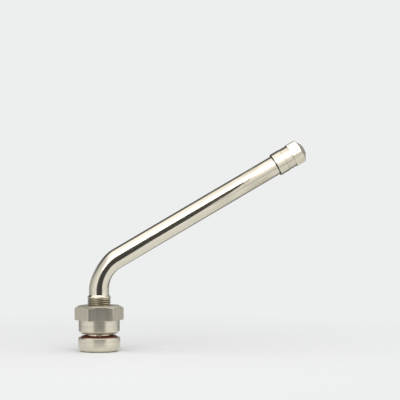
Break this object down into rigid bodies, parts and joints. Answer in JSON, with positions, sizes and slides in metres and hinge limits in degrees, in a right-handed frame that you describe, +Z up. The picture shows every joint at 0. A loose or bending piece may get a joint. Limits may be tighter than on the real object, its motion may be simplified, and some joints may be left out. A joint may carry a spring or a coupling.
{
  "type": "tyre valve",
  "caption": "Bent clamp-in tyre valve with a round foot, sealing ring, hexagon clamp nut, threaded neck, angled tube, spring-loaded core and hexagon-headed screw cap.",
  "frame": {"origin": "on the neck's axis, in the seat plane where the top of the foot meets the rim", "axes": "+Z up the neck, out of the rim; +X the way the arm is bent; Y across the plane of the bend"},
  "size_m": [0.0931, 0.017, 0.0836],
  "materials": {
    "polished_nickel": "polished nickel plate on brass",
    "satin_nickel": "satin nickel plate on brass",
    "bare_brass": "turned brass",
    "red_rubber": "smooth red-brown rubber",
    "black_rubber": "smooth black rubber",
    "white_gasket": "white gasket plastic",
    "spring_steel": "drawn spring wire"
  },
  "bodies": {
    "stem": {"valve_stem": "polished_nickel", "core_plug": "bare_brass", "core_barrel": "bare_brass", "barrel_gasket": "white_gasket", "core_spring": "spring_steel"},
    "seal_ring": {"sealing_o_ring": "red_rubber"},
    "nut": {"clamp_nut": "satin_nickel"},
    "cap_disc": {"cap_seal": "black_rubber"},
    "cap": {"cap_shell": "polished_nickel"},
    "pin": {"core_pin": "bare_brass", "pin_cup": "bare_brass", "cup_seal": "black_rubber"}
  },
  "joints": [
    {"name": "nut_turn", "type": "hinge", "parent": "stem", "child": "seal_ring", "pos_m": [0, 0, 0], "axis": [0, 0, 1], "range_deg": [-150, 3590]},
    {"name": "nut_rise", "type": "slide", "parent": "seal_ring", "child": "nut", "axis": [0, 0, 1], "range_m": [-0.00033, 0.0079]},
    {"name": "cap_rise", "type": "slide", "parent": "stem", "child": "cap_disc", "axis": [0.866, 0, 0.5], "range_m": [0, 0.0099]},
    {"name": "cap_turn", "type": "hinge", "parent": "cap_disc", "child": "cap", "pos_m": [0.07957, 0, 0.07302], "axis": [0.866, 0, 0.5], "range_deg": [0, 4495]},
    {"name": "pin_press", "type": "slide", "parent": "stem", "child": "pin", "axis": [-0.866, 0, -0.5], "range_m": [0, 0.0012], "stiffness_N_per_m": 600, "deforming": ["core_spring"]}
  ],
  "couplings": [
    {"joint": "nut_turn", "follows": "nut_rise", "rad_per_m": 7915.8},
    {"joint": "cap_turn", "follows": "cap_rise", "rad_per_m": 7915.8}
  ]
}
